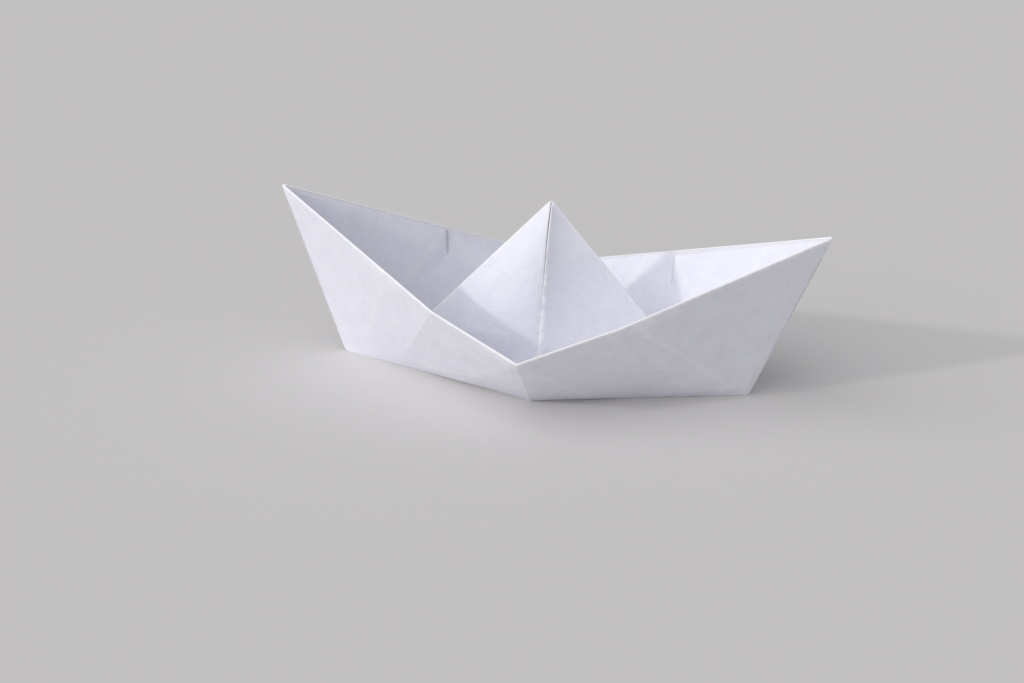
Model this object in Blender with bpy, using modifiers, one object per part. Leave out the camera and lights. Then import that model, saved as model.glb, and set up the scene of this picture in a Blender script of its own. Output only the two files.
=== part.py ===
"""Folded paper boat, one sheet of office paper, resting upright on its keel.

The model is the sheet itself. Its middle surface is laid out facet by facet, layer over layer,
and then given the thickness of the paper.
Metres, +Z up, bow and stern along X. The origin is under the middle of the boat, on the surface
that it rests on.
"""

import math

import bmesh
import bpy
import numpy as np

mm = 0.001

# Sheet
paperThickness = 0.1 * mm
flapPitch = 0.14 * mm
brimPitch = 0.3 * mm

# Hull, measured from the middle of the boat and from its floor
tipReach = 86.5 * mm
tipHeight = 54.3 * mm
rimReach = 51.0 * mm
frontRimHeight = 23.5 * mm
backRimHeight = 20.5 * mm
footReach = 23.0 * mm
stemFootReach = 65.5 * mm

# Slanting crease in the front wall: its ends along the rim and along the foot, and how far it stands out
creaseRimReach = 26.8 * mm
creaseFootReach = 46.7 * mm
creaseRise = 2.8 * mm

# Sail
sailHeight = 58.0 * mm
sailFootReach = 17.5 * mm
sailFootSpan = 52.0 * mm
sailTipCut = 0.7 * mm
slitHalfWidth = 0.25 * mm
flapFootHeight = 0.5 * mm

# Brim, turned in over the rim
brimDepth = 33.5 * mm
tipGap = 1.5 * mm
cornerReach = 38.5 * mm
cornerDrop = 0.3 * mm

# Subdivision and welding
spanSteps = 14
wallSteps = 6
weldDistance = 0.002 * mm
sharpAngle = math.radians(12)

xAxis = np.array([1.0, 0.0, 0.0])
zAxis = np.array([0.0, 0.0, 1.0])


def unit(vector):
    return vector / np.linalg.norm(vector)


def seat(point, *conditions):
    """Move a point by the shortest step that meets every (normal, distance) condition."""
    normals = np.array([normal for normal, distance in conditions])
    distances = np.array([distance for normal, distance in conditions])
    return point + np.linalg.lstsq(normals, distances, rcond=None)[0]


class Wall:
    """One side of the hull: two ruled facets from the foot line up to the rim, with a crease between them."""

    def __init__(self, footMiddle, stemFoot, tip, rimMiddle, creaseRimShare, creaseFootShare, rise):
        self.feet = [footMiddle, footMiddle + (stemFoot - footMiddle) * creaseFootShare, stemFoot]
        self.rims = [rimMiddle, rimMiddle + (tip - rimMiddle) * creaseRimShare, tip]
        self.creaseShare = creaseRimShare
        self.side = math.copysign(1, rimMiddle[1])
        self.rims[1] = self.rims[1] - self.inward(creaseRimShare, 1) * rise

    def facet(self, alongShare):
        """Number of the facet at a share of the rim's length, and the share of that facet's own length."""
        if alongShare < self.creaseShare:
            return 0, alongShare / self.creaseShare
        return 1, (alongShare - self.creaseShare) / (1 - self.creaseShare)

    def at(self, alongShare, upShare):
        number, share = self.facet(alongShare)
        foot = self.feet[number] + (self.feet[number + 1] - self.feet[number]) * share
        rim = self.rims[number] + (self.rims[number + 1] - self.rims[number]) * share
        return foot + (rim - foot) * upShare

    def facetInward(self, number, alongShare, upShare):
        foot = self.feet[number + 1] - self.feet[number]
        rim = self.rims[number + 1] - self.rims[number]
        spanwise = foot + (rim - foot) * upShare
        upward = self.at(alongShare, 1) - self.at(alongShare, 0)
        normal = unit(np.cross(spanwise, upward))
        return normal if normal[1] * self.side < 0 else -normal

    def inward(self, alongShare, upShare):
        """Unit normal that points into the hold, the mean of both facets' on the crease."""
        if alongShare == self.creaseShare:
            return unit(self.facetInward(0, alongShare, upShare) + self.facetInward(1, alongShare, upShare))
        return self.facetInward(self.facet(alongShare)[0], alongShare, upShare)

    def brimFootShare(self, alongShare):
        """Share of the wall's height at which the brim, of one depth all along, ends."""
        rim = unit(self.rims[2] - self.rims[0])
        fall = self.at(alongShare, 0) - self.at(alongShare, 1)
        return 1 - brimDepth / np.linalg.norm(fall - rim * np.dot(fall, rim))

    def layer(self, alongShare, upShare, distance):
        """A point that lies a distance inside the wall."""
        conditions = [(self.inward(alongShare, upShare), distance)]
        if alongShare == 0:
            conditions.append((xAxis, 0))
        return seat(self.at(alongShare, upShare), *conditions)


def grid(rows):
    """Quads between rows of points."""
    faces = []
    for lower, upper in zip(rows, rows[1:]):
        for index in range(len(lower) - 1):
            faces.append([lower[index], lower[index + 1], upper[index + 1], upper[index]])
    return faces


def spanShares(wall):
    """Shares of the rim's length from the middle of the boat to the end of the brim, one on the crease."""
    firstSteps = round(spanSteps * wall.creaseShare)
    first = np.linspace(0, wall.creaseShare, firstSteps + 1)
    second = np.linspace(wall.creaseShare, tipShare, spanSteps - firstSteps + 1)
    return [*first[:-1], *second]


def hullFaces(front, back):
    """Both outer walls of the right half, which meet at the stem."""
    riseShares = np.linspace(0, 1, wallSteps + 1)
    faces = []
    for wall in (front, back):
        shares = spanShares(wall) + [1]
        faces += grid([[wall.at(alongShare, upShare) for alongShare in shares] for upShare in riseShares])
    return faces


def brimRows(wall, shares, endRow):
    """Rows of the brim from its free edge up to the rim, one layer inside the wall."""
    rows = []
    for step in range(wallSteps + 1):
        row = []
        for alongShare in shares:
            lowShare = wall.brimFootShare(alongShare)
            upShare = lowShare + (1 - lowShare) * step / wallSteps
            row.append(wall.layer(alongShare, upShare, brimPitch))
        if endRow:
            row[-1] = endRow[step]
        rows.append(row)
    return rows


def brimFaces(front, back):
    """The brim inside both walls, the folds over the rim and the corner that wraps the stem."""
    lowShare = front.brimFootShare(1)
    stemRun = unit(front.rims[2] - front.feet[2])
    stem = []
    for step in range(wallSteps + 1):
        upShare = lowShare + (1 - lowShare) * step / wallSteps
        stem.append(seat(front.at(1, upShare), (front.inward(1, upShare), brimPitch),
                         (back.inward(1, upShare), 2 * brimPitch), (stemRun, 0)))
    faces = []
    for wall, endRow in ((front, stem), (back, None)):
        shares = spanShares(wall)
        rows = brimRows(wall, shares, endRow)
        faces += grid(rows)
        rim = [wall.at(alongShare, 1) for alongShare in shares]
        faces += grid([rim, rows[-1]])
    return faces + cornerFaces(back, stem)


def cornerFaces(back, stem):
    """The front brim's corner, carried round the stem and laid over the back brim."""
    rows = []
    dropShare = cornerDrop / np.linalg.norm(back.rims[2] - back.feet[2])
    topEdgeShare = cornerReach / tipReach
    footEdgeShare = cornerReach / stemFootReach
    for step, end in enumerate(stem):
        row = []
        for index in range(wallSteps + 1):
            riseShare = step / wallSteps
            edgeShare = footEdgeShare + (topEdgeShare - footEdgeShare) * riseShare
            alongShare = edgeShare + (tipShare - edgeShare) * index / wallSteps
            lowShare = back.brimFootShare(alongShare)
            upShare = lowShare + (1 - dropShare - lowShare) * riseShare
            row.append(back.layer(alongShare, upShare, 2 * brimPitch))
        row[-1] = end
        rows.append(row)
    return grid(rows)


def floorFaces(front, back, sailFoot):
    """The flat keel band between the feet of the hull and of the sail, as a fan on each side."""
    faces = []
    for wall in (front, back):
        shares = spanShares(wall) + [1]
        middle = np.array([0, wall.side * sailFootReach, 0])
        outer = [wall.at(alongShare, 0) for alongShare in shares] + [sailFoot]
        faces += [[middle, first, second] for first, second in zip(outer, outer[1:])]
    return faces


def sailFaces(sailFoot):
    """The hollow sail: one layer behind, and in front two flaps over the inner layer."""
    apex = np.array([0, 0, sailHeight])
    frontFoot = np.array([0, -sailFootReach, 0])
    backFoot = np.array([0, sailFootReach, 0])
    frontOut = unit(np.cross(frontFoot - apex, sailFoot - apex))
    backOut = unit(np.cross(sailFoot - apex, backFoot - apex))
    edgeOut = unit(np.array([sailHeight, 0, sailFootSpan]))
    inner, outer = flapPitch, 2 * flapPitch
    rays = {
        "back": (backFoot, (backOut, 0), (xAxis, 0)),
        "side": (sailFoot, (backOut, 0), (edgeOut, 0)),
        "wrap": (sailFoot, (frontOut, outer), (edgeOut, 0)),
        "slitOuter": (frontFoot, (frontOut, outer), (xAxis, slitHalfWidth)),
        "slitInner": (frontFoot, (frontOut, inner), (xAxis, slitHalfWidth)),
        "tuckInner": (sailFoot, (frontOut, inner), (edgeOut, -inner)),
        "tuck": (sailFoot, (frontOut, 0), (backOut, -inner)),
        "front": (frontFoot, (frontOut, 0), (xAxis, 0)),
    }
    top = {name: seat(apex, *ray[1:], (zAxis, -sailTipCut)) for name, ray in rays.items()}
    low = {name: seat(ray[0], *ray[1:], (zAxis, flapFootHeight)) for name, ray in rays.items()}
    names = list(rays)
    faces = [[top[first], top[second], low[second], low[first]]
             for first, second in zip(names, names[1:])]
    faces.append([top[name] for name in names])
    faces.append([low["back"], low["side"], sailFoot, backFoot])
    faces.append([low["front"], low["tuck"], low["side"], sailFoot, frontFoot])
    faces.append([low["wrap"], low["slitOuter"], low["slitInner"], low["tuckInner"]])
    faces.append([low["side"], low["wrap"], low["tuckInner"], low["tuck"]])
    return faces


def sheetMesh(faces, name):
    """Join the facets into one open surface."""
    shape = bmesh.new()
    for points in faces:
        shape.faces.new([shape.verts.new(point) for point in points])
    bmesh.ops.remove_doubles(shape, verts=shape.verts, dist=weldDistance)
    bmesh.ops.recalc_face_normals(shape, faces=shape.faces)
    mesh = bpy.data.meshes.new(name)
    shape.to_mesh(mesh)
    shape.free()
    return mesh


def paperMaterial():
    material = bpy.data.materials.new("white_paper")
    material.use_nodes = True
    shader = material.node_tree.nodes["Principled BSDF"]
    shader.inputs["Base Color"].default_value = (0.86, 0.86, 0.9, 1)
    shader.inputs["Roughness"].default_value = 0.85
    shader.inputs["Metallic"].default_value = 0
    return material


tip = np.array([tipReach, 0, tipHeight])
stemFoot = np.array([stemFootReach, 0, 0])
frontRim = np.array([0, -rimReach, frontRimHeight])
backRim = np.array([0, rimReach, backRimHeight])
creaseRimShare = creaseRimReach / tipReach
creaseFootShare = creaseFootReach / stemFootReach
frontFoot = np.array([0, -footReach, 0])
backFoot = np.array([0, footReach, 0])
frontWall = Wall(frontFoot, stemFoot, tip, frontRim, creaseRimShare, creaseFootShare, creaseRise)
backWall = Wall(backFoot, stemFoot, tip, backRim, creaseRimShare, creaseRimShare, 0)
sailCorner = np.array([sailFootSpan, 0, 0])
tipShare = 1 - tipGap / np.linalg.norm(tip - frontRim)

for old in list(bpy.data.objects):
    bpy.data.objects.remove(old)

halfSheet = hullFaces(frontWall, backWall)
halfSheet += brimFaces(frontWall, backWall)
halfSheet += floorFaces(frontWall, backWall, sailCorner)
halfSheet += sailFaces(sailCorner)

boat = bpy.data.objects.new("paper_boat", sheetMesh(halfSheet, "paper_boat"))
boat.data.materials.append(paperMaterial())
boat.data.shade_smooth()
boat.data.set_sharp_from_angle(angle=sharpAngle)
boat.location.z = paperThickness / 2

collection = bpy.data.collections.new("folded_paper_boat")
bpy.context.scene.collection.children.link(collection)
collection.objects.link(boat)

mirror = boat.modifiers.new("Other half", "MIRROR")
mirror.merge_threshold = weldDistance
thickness = boat.modifiers.new("Paper", "SOLIDIFY")
thickness.thickness = paperThickness
thickness.offset = 0
thickness.solidify_mode = "NON_MANIFOLD"
thickness.nonmanifold_thickness_mode = "CONSTRAINTS"
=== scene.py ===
import math

import bmesh
import bpy
import numpy as np
from mathutils import Matrix, Vector


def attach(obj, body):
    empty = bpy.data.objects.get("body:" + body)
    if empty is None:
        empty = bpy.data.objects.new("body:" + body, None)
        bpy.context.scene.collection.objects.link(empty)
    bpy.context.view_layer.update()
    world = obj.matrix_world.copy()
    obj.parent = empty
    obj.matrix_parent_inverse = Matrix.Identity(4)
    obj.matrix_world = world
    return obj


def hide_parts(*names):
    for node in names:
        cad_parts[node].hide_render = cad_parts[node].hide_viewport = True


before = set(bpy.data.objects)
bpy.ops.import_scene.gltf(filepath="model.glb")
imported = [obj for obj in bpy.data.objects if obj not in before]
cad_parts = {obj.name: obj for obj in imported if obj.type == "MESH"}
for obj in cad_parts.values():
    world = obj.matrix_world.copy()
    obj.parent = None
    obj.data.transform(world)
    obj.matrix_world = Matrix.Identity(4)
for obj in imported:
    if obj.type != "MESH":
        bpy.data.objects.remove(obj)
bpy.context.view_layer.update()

millimetre = 0.001


def isVector(value):
    if isinstance(value, Wire):
        return value.socket.type in {"VECTOR", "RGBA"}
    return isinstance(value, (tuple, list, Vector))


class Wire:
    # one output socket, wrapped so that node maths reads as plain sums
    def __init__(self, socket):
        self.socket = socket

    def combine(self, operation, first, second):
        tree = self.socket.id_data
        if isVector(first) or isVector(second):
            if operation == "MULTIPLY" and not (isVector(first) and isVector(second)):
                vector, scale = (first, second) if isVector(first) else (second, first)
                return addNode(tree, "ShaderNodeVectorMath", {"operation": "SCALE"},
                               {0: vector, 3: scale})
            return addNode(tree, "ShaderNodeVectorMath", {"operation": operation},
                           {0: first, 1: second})
        return addNode(tree, "ShaderNodeMath", {"operation": operation}, {0: first, 1: second})

    def __add__(self, other):
        return self.combine("ADD", self, other)

    def __sub__(self, other):
        return self.combine("SUBTRACT", self, other)

    def __rsub__(self, other):
        return self.combine("SUBTRACT", other, self)

    def __mul__(self, other):
        return self.combine("MULTIPLY", self, other)

    def __truediv__(self, other):
        return self.combine("DIVIDE", self, other)

    def __rtruediv__(self, other):
        return self.combine("DIVIDE", other, self)

    def __pow__(self, other):
        return self.combine("POWER", self, other)


def addNode(tree, kind, settings=None, values=None, output=0):
    # one node: its settings first, then the values or wires of its sockets
    node = tree.nodes.new(kind)
    for name, value in (settings or {}).items():
        setattr(node, name, value)
    for key, value in (values or {}).items():
        if isinstance(value, Wire):
            tree.links.new(value.socket, node.inputs[key])
        else:
            node.inputs[key].default_value = value
    return Wire(node.outputs[output])


def maths(operation, first, second=0.0):
    return first.combine(operation, first, second)


def clamp(wire):
    return maths("MINIMUM", maths("MAXIMUM", wire, 0.0), 1.0)


def vectorMaths(operation, first, second=(0, 0, 0), output=0):
    tree = first.socket.id_data
    return addNode(tree, "ShaderNodeVectorMath", {"operation": operation}, {0: first, 1: second},
                   output)


def blendWires(first, second, share):
    return first + (second - first) * share


def arch(share):
    # rises from 0 to 1 and falls back to 0
    return maths("SINE", share * math.pi)


def newTree(name, inputs):
    # a geometry tree with named inputs, and a lookup of their wires
    tree = bpy.data.node_groups.new(name, "GeometryNodeTree")
    tree.interface.new_socket(name="Geometry", in_out="OUTPUT", socket_type="NodeSocketGeometry")
    for label, kind in inputs.items():
        tree.interface.new_socket(name=label, in_out="INPUT", socket_type="NodeSocket" + kind)
    entry = tree.nodes.new("NodeGroupInput")
    return tree, {label: Wire(entry.outputs[label]) for label in inputs}


def gridShares(tree, wires):
    # a flat grid whose own two directions run from 0 to 1
    grid = addNode(tree, "GeometryNodeMeshGrid", None,
                   {"Size X": 1.0, "Size Y": 1.0, "Vertices X": wires["Columns"],
                    "Vertices Y": wires["Rows"]})
    place = addNode(tree, "GeometryNodeInputPosition")
    along = addNode(tree, "ShaderNodeSeparateXYZ", None, {0: place}, 0) + 0.5
    up = addNode(tree, "ShaderNodeSeparateXYZ", None, {0: place}, 1) + 0.5
    return grid, clamp(along), clamp(up)


def endTree(tree, grid, position, wear, material):
    # stores the fold whitening, partly wear and partly painted highlight, sets the shape and gives
    # it the paper
    worn = addNode(tree, "GeometryNodeStoreNamedAttribute",
                   {"data_type": "FLOAT", "domain": "POINT"},
                   {"Geometry": grid, "Name": "foldWearAndHighlight", "Value": wear})
    shaped = addNode(tree, "GeometryNodeSetPosition", None,
                     {"Geometry": worn, "Position": position})
    whole = addNode(tree, "GeometryNodeRealizeInstances", None, {"Geometry": shaped})
    painted = addNode(tree, "GeometryNodeSetMaterial", None,
                      {"Geometry": whole, "Material": material})
    end = tree.nodes.new("NodeGroupOutput")
    tree.links.new(painted.socket, end.inputs["Geometry"])


creaseLabels = ("First crease", "Second crease", "Third crease", "Fourth crease")
# lengths in millimetres; the edge numbers say how steeply a shape grows from the panel's edge
panelForm = {
    "coneEdge": 4, "cockleEdge": 2, "topEdge": 5, "sideEdge": 4,
    "cockleDetail": 1.5,
    "creaseBlunt": 0.3,          # rounds the line of a crease
    # width of the whiter band along a crease: partly wear, partly painted highlight
    "wearAndHighlightWidth": 1.4,
    "tiny": 0.0001,
}


def makePanelTree():
    # a ruled sheet from a foot edge to a top edge, bellied a little and bent along straight creases
    inputs = {"Columns": "Int", "Rows": "Int", "Foot near": "Vector", "Foot far": "Vector",
              "Top far": "Vector", "Top near": "Vector", "Outward": "Float", "Belly": "Float",
              "Belly lean": "Float", "Belly fade": "Float", "Hold sides": "Float",
              "Ridge swell": "Vector", "Ridge peak": "Float", "Cockle": "Float",
              "Cockle size": "Float", "Seed": "Float", "Material": "Material"}
    for label in creaseLabels:
        inputs.update({label + " from": "Vector", label + " to": "Vector", label + " rise": "Float",
                       label + " reach": "Float", label + " wear": "Float"})
    tree, wires = newTree("ruledPanel", inputs)
    grid, along, up = gridShares(tree, wires)
    foot = blendWires(wires["Foot near"], wires["Foot far"], along)
    top = blendWires(wires["Top near"], wires["Top far"], along)
    flat = blendWires(foot, top, up)
    spanwise = blendWires(wires["Foot far"] - wires["Foot near"],
                          wires["Top far"] - wires["Top near"], up)
    normal = vectorMaths("NORMALIZE", vectorMaths("CROSS_PRODUCT", top - foot, spanwise))
    normal = normal * wires["Outward"]
    # the belly and the cockle fade out towards the edges, so that panels meet
    acrossPillow = arch(along ** wires["Belly lean"])
    coneLike = (1 - up) * clamp(up * panelForm["coneEdge"])
    upPillow = blendWires(arch(up), coneLike, wires["Belly fade"])
    offset = acrossPillow * upPillow * wires["Belly"]
    wave = addNode(tree, "ShaderNodeTexNoise", {"noise_dimensions": "4D"},
                   {"Vector": flat, "W": wires["Seed"], "Scale": 1 / wires["Cockle size"],
                    "Detail": panelForm["cockleDetail"]})
    steady = clamp(acrossPillow * panelForm["cockleEdge"]) \
        * clamp(upPillow * panelForm["cockleEdge"])
    offset = offset + (wave - 0.5) * steady * wires["Cockle"]
    held = clamp(arch(up) * panelForm["topEdge"]) \
        * clamp(arch(along) * panelForm["sideEdge"] + 1 - wires["Hold sides"])
    wear = None
    for label in creaseLabels:
        start, run = wires[label + " from"], wires[label + " to"] - wires[label + " from"]
        length = vectorMaths("LENGTH", run, output=1)
        square = length * length + panelForm["tiny"]
        lead = vectorMaths("DOT_PRODUCT", flat - start, run, 1) / square
        gap = flat - (start + run * clamp(lead))
        across = gap - normal * vectorMaths("DOT_PRODUCT", gap, normal, 1)
        away = vectorMaths("LENGTH", across, output=1)
        blunt = maths("SQRT", away * away + panelForm["creaseBlunt"])
        slope = maths("MAXIMUM", 1 - blunt / wires[label + " reach"], 0.0)
        offset = offset + slope * wires[label + " rise"] * held
        # each crease gets a whiter band of paper colour: partly crushed fibres, partly a painted
        # highlight for the light its bend catches
        line = clamp(panelForm["wearAndHighlightWidth"] - away) * wires[label + " wear"]
        wear = line if wear is None else maths("MAXIMUM", wear, line)
    swell = arch(up ** wires["Ridge peak"]) * (1 - along)
    position = flat + normal * offset + wires["Ridge swell"] * swell
    endTree(tree, grid, position, wear, wires["Material"])
    return tree


def makeFoldTree():
    # a rounded fold: an arc that turns from one arm to the other round a straight line
    inputs = {"Columns": "Int", "Rows": "Int", "Line near": "Vector", "Line far": "Vector",
              "First near": "Vector", "First far": "Vector", "Second near": "Vector",
              "Second far": "Vector", "Ridge swell": "Vector", "Ridge peak": "Float",
              "Wear": "Float", "Material": "Material"}
    tree, wires = newTree("roundedFold", inputs)
    grid, along, turn = gridShares(tree, wires)
    line = blendWires(wires["Line near"], wires["Line far"], along)
    first = blendWires(wires["First near"], wires["First far"], along)
    second = blendWires(wires["Second near"], wires["Second far"], along)
    reach = blendWires(vectorMaths("LENGTH", first, output=1),
                       vectorMaths("LENGTH", second, output=1), turn)
    mixed = blendWires(vectorMaths("NORMALIZE", first), vectorMaths("NORMALIZE", second), turn)
    swell = arch(along ** wires["Ridge peak"])
    position = line + vectorMaths("NORMALIZE", mixed) * reach + wires["Ridge swell"] * swell
    # the whole fold gets the whiter fold colour: partly wear, partly painted highlight for the
    # light its rounded top catches
    endTree(tree, grid, position, wires["Wear"], wires["Material"])
    return tree


# each part's wear values paint its folds whiter, partly as wear and partly as painted highlight
sheetParts = []      # points, faces and wear of each panel and fold, in millimetres


def runTree(tree, values):
    # evaluates a tree on an empty carrier and keeps the mesh that it makes
    carrier = bpy.data.objects.new("carrier", bpy.data.meshes.new("carrier"))
    bpy.context.scene.collection.objects.link(carrier)
    modifier = carrier.modifiers.new("Paper", "NODES")
    modifier.node_group = tree
    for item in tree.interface.items_tree:
        if item.in_out == "INPUT" and item.name in values:
            value = values[item.name]
            if isVector(value) or isinstance(value, np.ndarray):
                value = tuple(float(part) for part in value)
            modifier[item.identifier] = value
    carrier.data.update()
    ready = carrier.evaluated_get(bpy.context.evaluated_depsgraph_get())
    mesh = bpy.data.meshes.new_from_object(ready)
    points = np.array([vertex.co for vertex in mesh.vertices])
    wear = [entry.value for entry in mesh.attributes["foldWearAndHighlight"].data]
    sheetParts.append((points, [tuple(face.vertices) for face in mesh.polygons], wear))
    bpy.data.meshes.remove(mesh)
    bpy.data.objects.remove(carrier)


paperLook = {
    "whiteness": (0.895, 0.895, 0.965),
    "shadeTint": (0.80, 0.80, 0.875),
    # the whiter colour of folds and creases: partly crushed fibres, partly painted highlight
    "foldWearAndHighlightTint": (0.985, 0.985, 1.0),
    "fibreSize": 0.9, "fibreDetail": 5.0, "fibreShare": 1.5,     # sizes and heights in millimetres
    "cloudSize": 6.0, "cloudDetail": 4.0, "cloudShare": 1.2,
    "shadeShare": 0.25,          # how much of the shade tint an average spot has
    "roughness": 0.8, "roughnessSpread": 0.18,
    "fibreHeight": 0.022, "cloudHeightShare": 0.6, "bumpStrength": 0.35,
    "specular": 0.2,
}


def makePaper():
    material = bpy.data.materials.new("whiteOfficePaper")
    material.use_nodes = True
    tree = material.node_tree
    shader = tree.nodes["Principled BSDF"]
    place = addNode(tree, "ShaderNodeTexCoord", None, None, 3)
    inMillimetres = place * (1 / millimetre)
    cloud = addNode(tree, "ShaderNodeTexNoise", None,
                    {"Vector": inMillimetres, "Scale": 1 / paperLook["cloudSize"],
                     "Detail": paperLook["cloudDetail"]})
    fibre = addNode(tree, "ShaderNodeTexNoise", None,
                    {"Vector": inMillimetres, "Scale": 1 / paperLook["fibreSize"],
                     "Detail": paperLook["fibreDetail"]})
    mottle = clamp((cloud - 0.5) * paperLook["cloudShare"] + (fibre - 0.5) * paperLook["fibreShare"]
                   + paperLook["shadeShare"])
    colour = addNode(tree, "ShaderNodeMix", {"data_type": "RGBA"},
                     {0: mottle, 6: (*paperLook["whiteness"], 1),
                      7: (*paperLook["shadeTint"], 1)}, 2)
    # folds and creases are painted whiter: partly worn fibres, partly painted highlight for the
    # light the rims and folds catch
    wear = addNode(tree, "ShaderNodeAttribute", {"attribute_name": "foldWearAndHighlight"}, None, 2)
    folded = addNode(tree, "ShaderNodeMix", {"data_type": "RGBA"},
                     {0: clamp(wear), 6: colour, 7: (*paperLook["foldWearAndHighlightTint"], 1)}, 2)
    tree.links.new(folded.socket, shader.inputs["Base Color"])
    roughness = (fibre - 0.5) * paperLook["roughnessSpread"] + paperLook["roughness"]
    tree.links.new(roughness.socket, shader.inputs["Roughness"])
    bump = addNode(tree, "ShaderNodeBump", None,
                   {"Strength": paperLook["bumpStrength"],
                    "Distance": paperLook["fibreHeight"] * millimetre,
                    "Height": fibre + cloud * paperLook["cloudHeightShare"]})
    tree.links.new(bump.socket, shader.inputs["Normal"])
    shader.inputs["Specular IOR Level"].default_value = paperLook["specular"]
    return material


paper = makePaper()
panelTree = makePanelTree()
foldTree = makeFoldTree()
print("Paper and node trees ready")

# sizes in millimetres from here on
hull = {
    "tipReach": 86.05, "tipHeight": 54.05,
    "frontRimReach": 50.7, "backRimReach": 50.45, "frontRimHeight": 23.25, "backRimHeight": 20.25,
    "footReach": 22.85, "stemFootReach": 65.25,
    "floorLevel": 0.1,
    "sheet": 0.1,                # thickness of the paper
    "rimRadius": 0.32, "stemFootRadius": 0.22, "stemTurns": 6,
    "brimDepth": 33.5, "tipGap": 1.1,
    "tipPoint": 0.25, "tipAim": (0, 0, 25),      # the blunt tip points away from here
    "belly": 0.15, "cockle": 0.3, "seed": 3.0,
    "cell": 1.25, "keelRows": 3,                 # size of the mesh's faces, rows in the keel band
}
# the slanting crease where a front wall bends: its way along the rim, its share of the foot's
# length and how far it stands out
wallBend = {
    (-1, -1): {"rimWay": 32.2, "footShare": 0.71, "rise": 3.5},
    (1, -1): {"rimWay": 33.0, "footShare": 0.71, "rise": 2.1},
}
# the crest of the rounded rim in radii, out from the wall and up it: at the back it leans over
rimCrest = {-1: (0, 1), 1: (0.5, 1.7)}
# the corner of the front brim, wrapped round the stem: where its free edge meets the rim and the
# foot of the brim, and how it stands off the back brim there
corner = {
    -1: {"topWay": 47.5, "footWay": 51.0, "lift": 0.0, "drop": 0.5, "belly": 0.0, "holdSides": 1.0},
    1: {"topWay": 45.8, "footWay": 57.5, "lift": 0.4, "drop": 0.9, "belly": -0.1, "holdSides": 0.0},
}
cornerLayer = {"gap": 0.2, "drop": 0.25}
# creases as (way along the rim, way down the sheet) from and to, rise, reach and how much whiter
# the crease is painted, partly as wear and partly as painted highlight
# both layers of a wall follow them, as they are pressed together
wallCreases = {
    (-1, -1): (((0, 0), (37, 37), 0.6, 16, 0.25), ((57, 6), (80, 36), 0.5, 14, 0.2),
               ((51, 36), (20, 25.5), 0.3, 8, 0.3)),
    (1, -1): (((0, 3.7), (29, 37), 0.6, 16, 0.25), ((40, 4), (92, 49), 0.9, 16, 0.3),
              ((60, 44), (75, 38), 0.3, 8, 0.2)),
    (-1, 1): (((46, 0), (10, 33), 0.3, 14, 0.2),),
    (1, 1): (((33, 0), (26, 16), 0.5, 9, 0.35),),
}
cornerCreases = {
    -1: (((48, 0), (78, 32), -0.6, 18, 0.3), ((85, 1), (88, 12), -0.15, 5, 0.3)),
    1: (((46, 1), (76, 30), -0.55, 12, 0.35), ((82, 1.5), (81, 7), -0.15, 4, 0.3)),
}

xAxis = np.array([1.0, 0.0, 0.0])
zAxis = np.array([0.0, 0.0, 1.0])


def unit(vector):
    return vector / np.linalg.norm(vector)


def seat(point, *conditions):
    # moves a point by the shortest step that meets every (normal, distance) condition
    normals = np.array([normal for normal, distance in conditions])
    distances = np.array([distance for normal, distance in conditions])
    return np.asarray(point, float) + np.linalg.lstsq(normals, distances, rcond=None)[0]


def steps(first, second):
    # how many faces a run from one point to the other takes
    return max(2, round(np.linalg.norm(np.subtract(second, first)) / hull["cell"]))


def panel(footNear, footFar, topFar, topNear, outward, columns, rows, creases=(), **extra):
    # one flat or bellied part of the sheet; extra values are named as the tree's inputs are
    values = {"Columns": columns + 1, "Rows": rows + 1, "Foot near": footNear, "Foot far": footFar,
              "Top far": topFar, "Top near": topNear, "Outward": float(outward), "Belly": 0.0,
              "Belly lean": 1.0, "Belly fade": 0.0, "Hold sides": 1.0, "Ridge swell": (0, 0, 0),
              "Ridge peak": 1.0, "Cockle": 0.0, "Cockle size": 14.0, "Seed": 1.0, "Material": paper}
    for label in creaseLabels:
        values.update({label + " from": (0, 0, 0), label + " to": (0, 0, 1), label + " rise": 0.0,
                       label + " reach": 1.0, label + " wear": 0.0})
    for label, (start, end, rise, reach, wear) in zip(creaseLabels, creases):
        values.update({label + " from": start, label + " to": end, label + " rise": rise,
                       label + " reach": float(reach), label + " wear": wear})
    for name, value in extra.items():
        words = "".join(" " + letter.lower() if letter.isupper() else letter for letter in name)
        values[words.capitalize()] = value
    runTree(panelTree, values)


def fold(lineNear, lineFar, firstNear, firstFar, secondNear, secondFar, columns, turns=3,
         swell=(0, 0, 0), peak=1.0, wear=1.0):
    runTree(foldTree, {"Columns": columns + 1, "Rows": turns + 1, "Line near": lineNear,
                       "Line far": lineFar, "First near": firstNear, "First far": firstFar,
                       "Second near": secondNear, "Second far": secondFar, "Ridge swell": swell,
                       "Ridge peak": peak, "Wear": wear, "Material": paper})


def arc(centre, first, second, turns=3):
    # the same points as the end of a rounded fold
    made = []
    for turn in np.linspace(0, 1, turns + 1):
        reach = np.linalg.norm(first) * (1 - turn) + np.linalg.norm(second) * turn
        made.append(centre + unit(unit(first) * (1 - turn) + unit(second) * turn) * reach)
    return made


def closeEnd(loop, peak):
    # a blunt point over the open end of some folds
    count = len(loop)
    faces = [(index, (index + 1) % count, count) for index in range(count)]
    # the blunt point gets the whiter fold colour: partly wear, partly painted highlight
    sheetParts.append((np.array([*loop, peak]), faces, [1.0] * (count + 1)))


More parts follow.
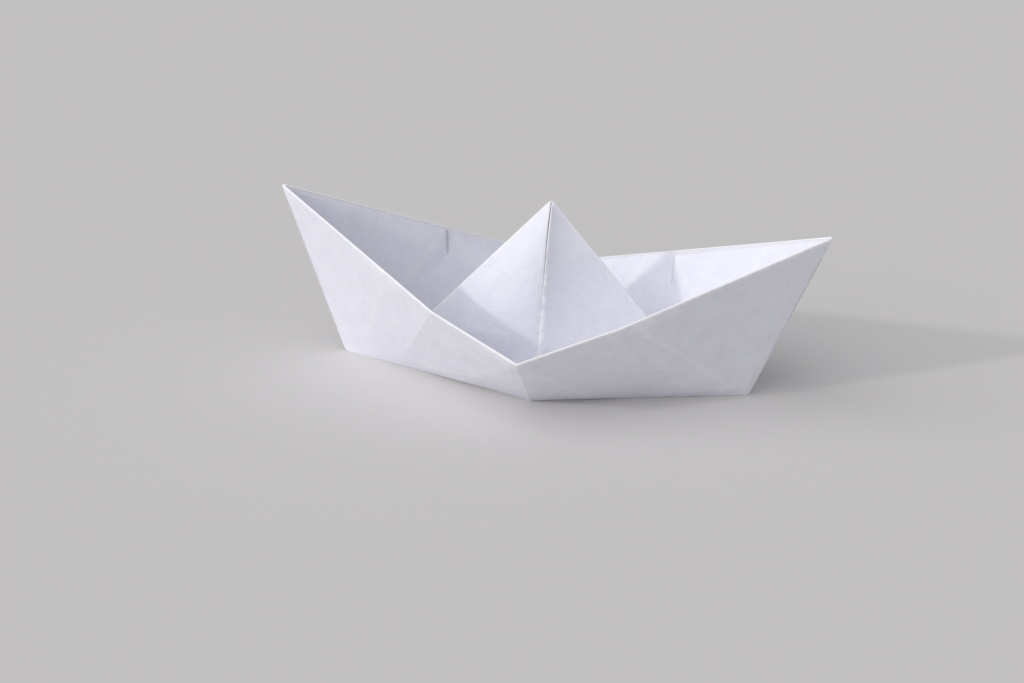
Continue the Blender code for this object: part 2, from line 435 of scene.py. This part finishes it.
class Wall:
    # one quarter of the hull, ruled from the foot line up to the rim, in one facet or in two that
    # meet in a crease
    def __init__(self, end, side):
        self.end, self.side = end, side          # end -1 or 1 along X, side -1 front or 1 back
        bend = wallBend.get((end, side))
        place = "front" if side < 0 else "back"
        rimReach, rimHeight = hull[place + "RimReach"], hull[place + "RimHeight"]
        footNear = np.array([0, side * hull["footReach"], hull["floorLevel"]])
        footFar = np.array([end * hull["stemFootReach"], 0, hull["floorLevel"]])
        topNear = np.array([0, side * rimReach, rimHeight])
        topFar = np.array([end * hull["tipReach"], 0, hull["tipHeight"]])
        self.rimLength = np.linalg.norm(topFar - topNear)
        self.stations = (0, bend["rimWay"] / self.rimLength, 1) if bend else (0, 1)
        self.footShares = (0, bend["footShare"], 1) if bend else (0, 1)
        self.feet = [footNear + (footFar - footNear) * share for share in self.footShares]
        self.tops = [topNear + (topFar - topNear) * along for along in self.stations]
        if bend:
            self.tops[1] = self.tops[1] + self.outward(self.stations[1], 1) * bend["rise"]

    def facet(self, along):
        # the facet's number and the way along it
        number = 0 if along < self.stations[1] else len(self.stations) - 2
        near, far = self.stations[number:number + 2]
        return number, (along - near) / (far - near)

    def at(self, along, up):
        number, share = self.facet(along)
        foot = self.feet[number] + (self.feet[number + 1] - self.feet[number]) * share
        top = self.tops[number] + (self.tops[number + 1] - self.tops[number]) * share
        return foot + (top - foot) * up

    def facetOutward(self, number, along, up):
        # the facet's unit normal, away from the hold
        foot, top = [line[number + 1] - line[number] for line in (self.feet, self.tops)]
        normal = unit(np.cross(foot + (top - foot) * up, self.at(along, 1) - self.at(along, 0)))
        return normal if normal[1] * self.side > 0 else -normal

    def outward(self, along, up):
        # on the crease it is the mean of both facets' normals
        if 0 < along < 1 and along in self.stations:
            return unit(self.facetOutward(0, along, up) + self.facetOutward(1, along, up))
        return self.facetOutward(self.facet(along)[0], along, up)

    def rimRun(self, along):
        runs = [unit(far - near) for near, far in zip(self.tops, self.tops[1:])]
        if 0 < along < 1 and along in self.stations:
            return unit(runs[0] + runs[1])
        return runs[self.facet(along)[0]]

    def upward(self, along):
        # in the wall, square to the rim
        aside = np.cross(self.outward(along, 1), self.rimRun(along))
        return aside if aside[2] > 0 else -aside

    def arm(self, along, outwardShare, upShare):
        # from the rim line to the rounded fold round it, mitred at the middle of the boat
        cut = (xAxis, 0) if along == 0 else (self.rimRun(along), 0)
        radius = hull["rimRadius"]
        return seat((0, 0, 0), (self.outward(along, 1), radius * outwardShare),
                    (self.upward(along), radius * upShare), cut)

    def brimFoot(self, along):
        # share of the wall's height at which the brim ends
        fall = self.at(along, 0) - self.at(along, 1)
        rim = unit(self.tops[-1] - self.tops[0])
        return 1 - hull["brimDepth"] / np.linalg.norm(fall - rim * np.dot(fall, rim))

    def onSheet(self, rimWay, down, deep=0.0):
        # a point by its way along the rim and down the sheet, on the wall as if it had no bend
        along = rimWay / self.rimLength
        foot = self.feet[0] + (self.feet[-1] - self.feet[0]) * along
        top = self.tops[0] + (self.tops[-1] - self.tops[0]) * along
        return top + unit(foot - top) * down + self.outward(along, 1) * deep

    def creases(self, lines, deep=0.0):
        return [(self.onSheet(*start, deep), self.onSheet(*end, deep), *rest)
                for start, end, *rest in lines]


def wallSeed(end, side):
    # the layers of one wall share their cockle
    return hull["seed"] + end + side * 0.5


def buildWall(wall, endShare):
    # outer layer, rim fold, brim and keel band, facet by facet
    # returns the rim fold's arms at the tip
    outward = wall.side * wall.end
    radius, stemRadius = hull["rimRadius"], hull["stemFootRadius"]
    outArm, upArm, inArm = [[wall.arm(along, *shares) for along in wall.stations]
                            for shares in ((1, 0), rimCrest[wall.side], (-1, 0))]
    footRun = wall.feet[-1] - wall.feet[0]
    stemRun = (wall.tops[-1] - wall.feet[-1]) * [1, 1, 0]
    runs = (xAxis, *[footRun] * (len(wall.feet) - 2), stemRun)
    feet = [seat(foot, (wall.outward(along, 0), radius + (stemRadius - radius) * share), (zAxis, 0),
                 (unit(run), 0))
            for foot, along, share, run in zip(wall.feet, wall.stations, wall.footShares, runs)]
    tops = [top + arm for top, arm in zip(wall.tops, outArm)]
    brimEnds = (*wall.stations[:-1], endShare)
    lows = [wall.brimFoot(along) for along in brimEnds]
    brimFeet = [seat(wall.at(along, low), (wall.outward(along, low), -radius))
                for along, low in zip(brimEnds, lows)]
    brimFeet[0] = seat(wall.at(0, lows[0]), (wall.outward(0, lows[0]), -radius), (xAxis, 0))
    brimTops = [top + arm for top, arm in zip(wall.tops, inArm)]
    brimTops[-1] = brimTops[-2] + (brimTops[-1] - brimTops[-2]) * wall.facet(endShare)[1]
    # the keel band runs on to the foot of the sail
    sailReach = sail["underReach"] if wall.side < 0 else sail["outlineRadius"]
    sailNear = seat((0, wall.side * sail["footReach"], hull["floorLevel"]),
                    (sailOut(wall.end, wall.side), sailReach), (zAxis, 0), (xAxis, 0))
    sailFar = np.array([wall.end * sail["footSpan"], 0, hull["floorLevel"]])
    sailFeet = [sailNear + (sailFar - sailNear) * share for share in wall.footShares]
    rows = steps(wall.feet[-1], wall.tops[-1])
    brimRows = steps(brimFeet[-1], brimTops[-1])
    creases = wallCreases[wall.end, wall.side]
    shape = {"belly": hull["belly"], "cockle": hull["cockle"],
             "seed": wallSeed(wall.end, wall.side)}
    for near in range(len(wall.stations) - 1):
        far = near + 1
        columns = steps(wall.tops[near], wall.tops[far])
        panel(feet[near], feet[far], tops[far], tops[near], outward, columns, rows,
              wall.creases(creases), **shape)
        for first, second in ((outArm, upArm), (upArm, inArm)):
            fold(wall.tops[near], wall.tops[far], first[near], first[far],
                 second[near], second[far], columns)
        panel(brimFeet[near], brimFeet[far], brimTops[far], brimTops[near], outward, columns,
              brimRows, wall.creases(creases, -radius), **shape)
        panel(sailFeet[near], sailFeet[far], feet[far], feet[near], -outward, columns,
              hull["keelRows"])
    return [outArm[-1], upArm[-1]]


def buildHull(end):
    # both walls of one half, the stem between them and the wrapped corner
    front, back = Wall(end, -1), Wall(end, 1)
    endShare = 1 - hull["tipGap"] / front.rimLength
    frontArms, backArms = [buildWall(wall, endShare) for wall in (front, back)]
    # the stem, where the outer layer turns from one wall to the other
    stemFoot, tip = front.feet[-1], front.tops[-1]
    radii, turns = (hull["stemFootRadius"], hull["rimRadius"]), hull["stemTurns"]
    stemArms = [[wall.outward(1, up) * radius for up, radius in zip((0, 1), radii)]
                for wall in (front, back)]
    fold(stemFoot, tip, *stemArms[0], *stemArms[1], steps(stemFoot, tip), turns)
    loop = arc(tip, *frontArms) + arc(tip, *backArms)[::-1]
    loop += arc(tip, stemArms[1][1], stemArms[0][1], turns)[1:-1]
    closeEnd(loop, np.mean(loop, axis=0) + unit(tip - hull["tipAim"]) * hull["tipPoint"])
    # the front brim's corner, carried round the stem and laid on the back brim
    free = corner[end]
    deep = -hull["rimRadius"] - cornerLayer["gap"]
    freeDeep = deep - free["lift"]
    topShare, footShare = free["topWay"] / back.rimLength, free["footWay"] / back.rimLength
    edges = ((footShare, back.brimFoot(footShare), 0, freeDeep),
             (endShare, back.brimFoot(endShare), 0, deep),
             (endShare, 1, cornerLayer["drop"], deep),
             (topShare, 1, free["drop"], freeDeep))
    places = []
    for share, up, drop, depth in edges:
        point = back.at(share, up) - back.upward(share) * drop
        places.append(seat(point, (back.outward(share, up), depth)))
    columns, rows = [steps(places[3], places[other]) for other in (2, 0)]
    panel(*places, end, columns, rows,
          back.creases(wallCreases[end, 1] + cornerCreases[end], deep), belly=free["belly"],
          cockle=hull["cockle"], seed=wallSeed(end, 1), holdSides=free["holdSides"])


sail = {
    "height": 57.6, "top": 57.05, "footReach": 17.4, "footSpan": 51.8,
    "outlineRadius": 0.26, "lift": 0.5,
    "underReach": -3.4, "underDrop": 0.3, "underInset": 0.25,    # the layer behind the flaps
    "innerDrop": 0.12, "innerInset": 0.2,                        # the flaps' own inner layer
    "ridgePeak": 2.4, "tuck": 2.4,       # the flaps stand inside the face's plane at the foot
    "apexPoint": 0.15, "seed": 31.0,
    "columns": 24,
}
# each flap's slit edge: its rounding, how far it stands proud, where it lies at foot and top
flaps = {
    -1: {"edgeRadius": 0.15, "proud": 0.0, "foot": 0.12, "top": 0.32, "swell": (0.0, -2.8, 0.0),
         "belly": 6.0, "lean": 0.85, "fade": 1.0, "cockle": 0.4},
    1: {"edgeRadius": 0.2, "proud": 0.16, "foot": 0.12, "top": 0.36, "swell": (0.05, -2.8, 0.0),
        "belly": -1.0, "lean": 0.8, "fade": 0.0, "cockle": 0.3},
}
backFace = {"belly": 0.5, "cockle": 0.3}


def sailOut(end, side):
    # outward normal of a sail face
    apex = np.array([0, 0, sail["height"]])
    foot = np.array([0, side * sail["footReach"], hull["floorLevel"]])
    outer = np.array([end * sail["footSpan"], 0, hull["floorLevel"]])
    normal = unit(np.cross(foot - apex, outer - apex))
    return normal if normal[1] * side > 0 else -normal


def buildSail(end):
    # one half of the sail; returns the loop round its open top
    top, height, lift, floorLevel = sail["top"], sail["height"], sail["lift"], hull["floorLevel"]
    footCorner = np.array([end * sail["footSpan"], 0, 0])
    outline = unit(np.array([end * height, 0, sail["footSpan"]]))
    radius = sail["outlineRadius"]
    rows = steps((0, 0, 0), (0, 0, height))
    flap, seed = flaps[end], sail["seed"] + end

    def nearPoint(side, level, reach, nearX=0.0):
        share = 1 - level / height
        return seat((0, side * sail["footReach"] * share, level), (sailOut(end, side), reach),
                    (xAxis, nearX), (zAxis, 0))

    def farPoint(side, level, reach, inset=0.0):
        share = 1 - level / height
        return seat(footCorner * share + zAxis * level, (sailOut(end, side), reach),
                    (outline, -inset), (zAxis, 0))

    # the back face, and behind the flaps the layer that joins the keel
    footFar = footCorner + zAxis * floorLevel
    panel(nearPoint(1, floorLevel, radius), footFar, farPoint(1, top, radius),
          nearPoint(1, top, radius), end, sail["columns"], rows, seed=seed, **backFace)
    underTop = radius - sail["underDrop"]
    panel(nearPoint(-1, floorLevel, sail["underReach"]), footFar,
          farPoint(-1, top, underTop, sail["underInset"]), nearPoint(-1, top, underTop),
          -end, sail["columns"] // 2, rows // 3)
    # the flap: an outer and an inner layer with a rounded fold between them along the slit
    edge, nearReach = flap["edgeRadius"], radius + flap["proud"]
    places = ((lift, flap["foot"] * end, sail["tuck"]), (top, flap["top"] * end, 0))
    shape = {"belly": flap["belly"], "bellyLean": flap["lean"], "bellyFade": flap["fade"],
             "cockle": flap["cockle"], "ridgeSwell": flap["swell"], "ridgePeak": sail["ridgePeak"],
             "seed": seed}
    layers = []
    levels = ((nearReach, radius, 0),
              (nearReach - 2 * edge, radius - sail["innerDrop"], sail["innerInset"]))
    for reach, farReach, inset in levels:
        footNear, topNear = [nearPoint(-1, level, reach - tuck, nearX)
                             for level, nearX, tuck in places]
        panel(footNear, farPoint(-1, lift, farReach, inset), farPoint(-1, top, farReach, inset),
              topNear, -end, sail["columns"], rows, **shape)
        layers.append((footNear, topNear))
    low, high = [(outer + inner) / 2 for outer, inner in zip(*layers)]
    outer = [layers[0][0] - low, layers[0][1] - high]
    aside = unit(np.cross(outer[0], high - low)) * edge
    aside = aside if aside[0] * end < 0 else -aside
    for first, second in ((outer, (aside, aside)), ((aside, aside), (-outer[0], -outer[1]))):
        fold(low, high, *first, *second, rows, 3, flap["swell"], sail["ridgePeak"])
    # the outline, where the sheet turns from the back face to the flap
    lineLow, lineHigh = [footCorner * (1 - level / height) + zAxis * level for level in (lift, top)]
    front, back = [[farPoint(side, lift, radius) - lineLow, farPoint(side, top, radius) - lineHigh]
                   for side in (-1, 1)]
    middle = [outline * radius] * 2
    for first, second in ((front, middle), (middle, back)):
        fold(lineLow, lineHigh, *first, *second, rows, 3)
    return [layers[0][1], *arc(lineHigh, front[1], middle[1]),
            *arc(lineHigh, middle[1], back[1])[1:]]


sailTops = {}
for end in (-1, 1):
    buildHull(end)
    sailTops[end] = buildSail(end)
apexLoop = sailTops[-1] + sailTops[1][::-1]
closeEnd(apexLoop, np.mean(apexLoop, axis=0) + zAxis * sail["apexPoint"])
print("Panels and folds made:", len(sheetParts))

# lengths in millimetres, fold angles in degrees: creases between panels are crisp, and the small
# faces of the rounded folds stay smooth
joining = {"weld": 0.01, "sliver": 0.005, "smallFace": 0.5, "smallFold": 35, "crispFold": 6}


def joinSheet(name):
    # welds the panels into one sheet and gives it its thickness
    points, faces, wear = [], [], []
    for partPoints, partFaces, partWearAndHighlight in sheetParts:
        shift = len(points)
        points.extend(partPoints * millimetre)
        faces.extend(tuple(index + shift for index in face) for face in partFaces)
        wear.extend(partWearAndHighlight)
    mesh = bpy.data.meshes.new(name)
    mesh.from_pydata(points, [], faces)
    mesh.attributes.new("foldWearAndHighlight", "FLOAT", "POINT").data.foreach_set("value", wear)
    shape = bmesh.new()
    shape.from_mesh(mesh)
    bmesh.ops.remove_doubles(shape, verts=shape.verts, dist=joining["weld"] * millimetre)
    bmesh.ops.dissolve_degenerate(shape, dist=joining["sliver"] * millimetre, edges=shape.edges)
    bmesh.ops.recalc_face_normals(shape, faces=shape.faces)
    smallArea = joining["smallFace"] * millimetre * millimetre
    for edge in shape.edges:
        if len(edge.link_faces) == 2:
            small = min(face.calc_area() for face in edge.link_faces) < smallArea
            limit = joining["smallFold" if small else "crispFold"]
            edge.smooth = edge.calc_face_angle() < math.radians(limit)
    for face in shape.faces:
        face.smooth = True
    shape.to_mesh(mesh)
    shape.free()
    mesh.materials.append(paper)
    made = bpy.data.objects.new(name, mesh)
    bpy.context.scene.collection.objects.link(made)
    thickness = made.modifiers.new("Thickness", "SOLIDIFY")
    thickness.thickness = hull["sheet"] * millimetre
    thickness.offset = 0
    thickness.solidify_mode = "NON_MANIFOLD"
    thickness.nonmanifold_thickness_mode = "FIXED"
    return made


paperBoat = joinSheet("foldedSheet")
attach(paperBoat, "root")
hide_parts("paper_boat")
print("Sheet joined:", len(paperBoat.data.polygons), "faces")

# metres from here on
studio = {
    "floorColour": (0.71, 0.695, 0.68), "floorRoughness": 0.9, "floorSpecular": 0.1,
    "floorReach": 6.0,
    "skyColour": (0.94, 0.95, 1.0), "skyStrength": 0.38,
    "backdrop": (0.86, 0.85, 0.83),
}
# azimuth 0 is in front, along -Y; all angles in degrees
lamps = {
    "key": {"azimuth": -50, "elevation": 25, "strength": 0.58, "angle": 3.5,
            "colour": (1.0, 0.99, 0.975)},
    "softbox": {"azimuth": -48, "elevation": 42, "strength": 1.52, "angle": 80,
                "colour": (0.98, 0.98, 1.0)},
}
# focal length and aim in pixels of the picture
lens = {"focal": 1868.9, "pitch": 22.31, "azimuth": 9.98, "roll": 2.37, "distance": 0.58868,
        "aimHeight": 0.025, "aimAcross": 546.94, "aimDown": 299.17, "width": 1024, "height": 683,
        "sensor": 36.0, "clipStart": 0.01, "clipEnd": 100}


def makeFloor():
    bpy.ops.mesh.primitive_plane_add(size=2 * studio["floorReach"])
    floor = bpy.context.object
    floor.name = "floor"
    material = bpy.data.materials.new("paleFloor")
    material.use_nodes = True
    shader = material.node_tree.nodes["Principled BSDF"]
    shader.inputs["Base Color"].default_value = (*studio["floorColour"], 1)
    shader.inputs["Roughness"].default_value = studio["floorRoughness"]
    shader.inputs["Specular IOR Level"].default_value = studio["floorSpecular"]
    floor.data.materials.append(material)


def direction(azimuth, elevation):
    return Vector((math.sin(azimuth) * math.cos(elevation),
                   -math.cos(azimuth) * math.cos(elevation), math.sin(elevation)))


def makeLight():
    for name, values in lamps.items():
        data = bpy.data.lights.new(name, "SUN")
        data.energy, data.color = values["strength"], values["colour"]
        data.angle = math.radians(values["angle"])
        lamp = bpy.data.objects.new(name, data)
        bpy.context.scene.collection.objects.link(lamp)
        towards = direction(math.radians(values["azimuth"]), math.radians(values["elevation"]))
        lamp.rotation_mode = "QUATERNION"
        lamp.rotation_quaternion = towards.to_track_quat("Z", "Y")
    # the camera sees a plain backdrop, and the paper is lit by the sky
    world = bpy.data.worlds.new("studio")
    bpy.context.scene.world = world
    world.use_nodes = True
    tree = world.node_tree
    sky = tree.nodes["Background"]
    sky.inputs["Color"].default_value = (*studio["skyColour"], 1)
    sky.inputs["Strength"].default_value = studio["skyStrength"]
    seen = addNode(tree, "ShaderNodeBackground", None,
                   {"Color": (*studio["backdrop"], 1), "Strength": 1.0})
    rays = tree.nodes.new("ShaderNodeLightPath")
    isCamera, isGlossy, isTransmission = [Wire(rays.outputs["Is " + kind + " Ray"])
                                          for kind in ("Camera", "Glossy", "Transmission")]
    plain = maths("MAXIMUM", isCamera, maths("MAXIMUM", isGlossy, isTransmission))
    mixed = addNode(tree, "ShaderNodeMixShader", None, {0: plain, 1: Wire(sky.outputs[0]), 2: seen})
    tree.links.new(mixed.socket, tree.nodes["World Output"].inputs["Surface"])


def makeCamera():
    azimuth, pitch, roll = (math.radians(lens[name]) for name in ("azimuth", "pitch", "roll"))
    back = direction(azimuth, pitch)
    right = (-back).cross(Vector((0, 0, 1))).normalized()
    upward = right.cross(-back)
    right, upward = (right * math.cos(roll) + upward * math.sin(roll),
                     upward * math.cos(roll) - right * math.sin(roll))
    ray = -back * lens["focal"] + right * (lens["aimAcross"] - lens["width"] / 2) \
        - upward * (lens["aimDown"] - lens["height"] / 2)
    eye = Vector((0, 0, lens["aimHeight"])) - ray.normalized() * lens["distance"]
    data = bpy.data.cameras.new("camera")
    data.sensor_width = lens["sensor"]
    data.lens = lens["focal"] * lens["sensor"] / lens["width"]
    data.clip_start, data.clip_end = lens["clipStart"], lens["clipEnd"]
    camera = bpy.data.objects.new("camera", data)
    camera.matrix_world = Matrix((
        (right.x, upward.x, back.x, eye.x), (right.y, upward.y, back.y, eye.y),
        (right.z, upward.z, back.z, eye.z), (0, 0, 0, 1)))
    bpy.context.scene.collection.objects.link(camera)
    bpy.context.scene.camera = camera


makeFloor()
makeLight()
makeCamera()
bpy.context.scene.view_settings.view_transform = "Standard"
print("Studio ready")
